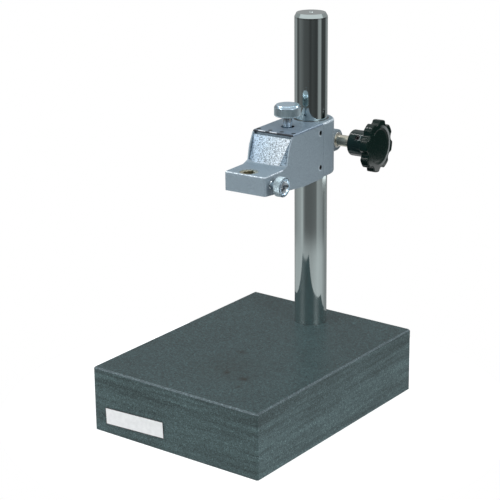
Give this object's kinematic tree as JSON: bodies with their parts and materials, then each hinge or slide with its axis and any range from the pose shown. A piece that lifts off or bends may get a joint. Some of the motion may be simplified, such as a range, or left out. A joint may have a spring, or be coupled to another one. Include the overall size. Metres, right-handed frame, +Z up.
{
  "type": "comparator stand",
  "caption": "Comparator stand: granite measuring base, chromed column and a split bracket with a fine screw and an arm that clamps a gauge by its stem.",
  "frame": {"origin": "centre of the granite base's underside", "axes": "+Z up along the column, -Y to the front face with the name plate, +X to the right, where the star knob is"},
  "size_m": [0.15, 0.2176, 0.2935],
  "materials": {
    "granite": "lapped top and honed sides, fine grained dark granite",
    "label_foil": "satin foil, bare",
    "column_chrome": "ground and hard chromed",
    "zinc_steel": "zinc plated",
    "spindle_steel": "turned, bright",
    "plate_steel": "satin",
    "nickel_steel": "nickel plated, knurled",
    "black_steel": "blackened",
    "spring_steel": "drawn wire",
    "bracket_iron": "satin machined faces with a rough cast web",
    "bronze": "turned",
    "brass": "turned",
    "black_plastic": "glossy moulded"
  },
  "bodies": {
    "base": {"granite_base": "granite", "name_plate": "label_foil", "column": "column_chrome", "column_washer": "zinc_steel", "column_bolt": "zinc_steel"},
    "liner": {"clamp_liner": "bronze"},
    "head": {"clamp_body": "bracket_iron", "return_spring": "spring_steel"},
    "fine_screw": {"fine_screw": "nickel_steel", "fine_clip": "black_steel"},
    "arm": {"arm_casting": "bracket_iron", "top_plate": "plate_steel", "top_plate_screws": "black_steel", "side_screws": "black_steel", "fine_nut": "bronze", "stem_bush": "brass"},
    "clamp_washer": {"clamp_washer": "zinc_steel"},
    "clamp_knob": {"clamp_spindle": "spindle_steel", "clamp_knob": "black_plastic", "knob_set_screw": "black_steel"},
    "stem_pad": {"stem_clamp_pad": "brass"},
    "stem_screw": {"stem_clamp_screw": "nickel_steel"}
  },
  "joints": [
    {"name": "height_slide", "type": "slide", "parent": "base", "child": "liner", "axis": [0, 0, 1], "range_m": [-0.119, 0.077]},
    {"name": "bracket_swivel", "type": "hinge", "parent": "liner", "child": "head", "pos_m": [0, 0.072, 0.1922], "axis": [0, 0, 1], "continuous": true},
    {"name": "fine_turn", "type": "hinge", "parent": "head", "child": "fine_screw", "pos_m": [0.00184, 0.03905, 0.2], "axis": [0, 0, 1], "range_deg": [-360, 360]},
    {"name": "fine_travel", "type": "slide", "parent": "head", "child": "arm", "axis": [0, 0, 1], "range_m": [-0.0005, 0.0005], "deforming": ["return_spring"]},
    {"name": "clamp_travel", "type": "slide", "parent": "head", "child": "clamp_washer", "axis": [0.9984, 0.0558, 0], "range_m": [0, 0.0025]},
    {"name": "clamp_turn", "type": "hinge", "parent": "clamp_washer", "child": "clamp_knob", "pos_m": [0.0223, 0.096, 0.1922], "axis": [0.9984, 0.0558, 0], "range_deg": [0, 720]},
    {"name": "stem_travel", "type": "slide", "parent": "arm", "child": "stem_pad", "axis": [0.9984, 0.0558, 0], "range_m": [0, 0.0015]},
    {"name": "stem_turn", "type": "hinge", "parent": "stem_pad", "child": "stem_screw", "pos_m": [0.0246, -0.00975, 0.1832], "axis": [0.9984, 0.0558, 0], "range_deg": [0, 540]}
  ],
  "couplings": [
    {"joint": "fine_turn", "follows": "fine_travel", "rad_per_m": -12566},
    {"joint": "clamp_turn", "follows": "clamp_travel", "rad_per_m": 5026.5},
    {"joint": "stem_turn", "follows": "stem_travel", "rad_per_m": 6283.2}
  ]
}
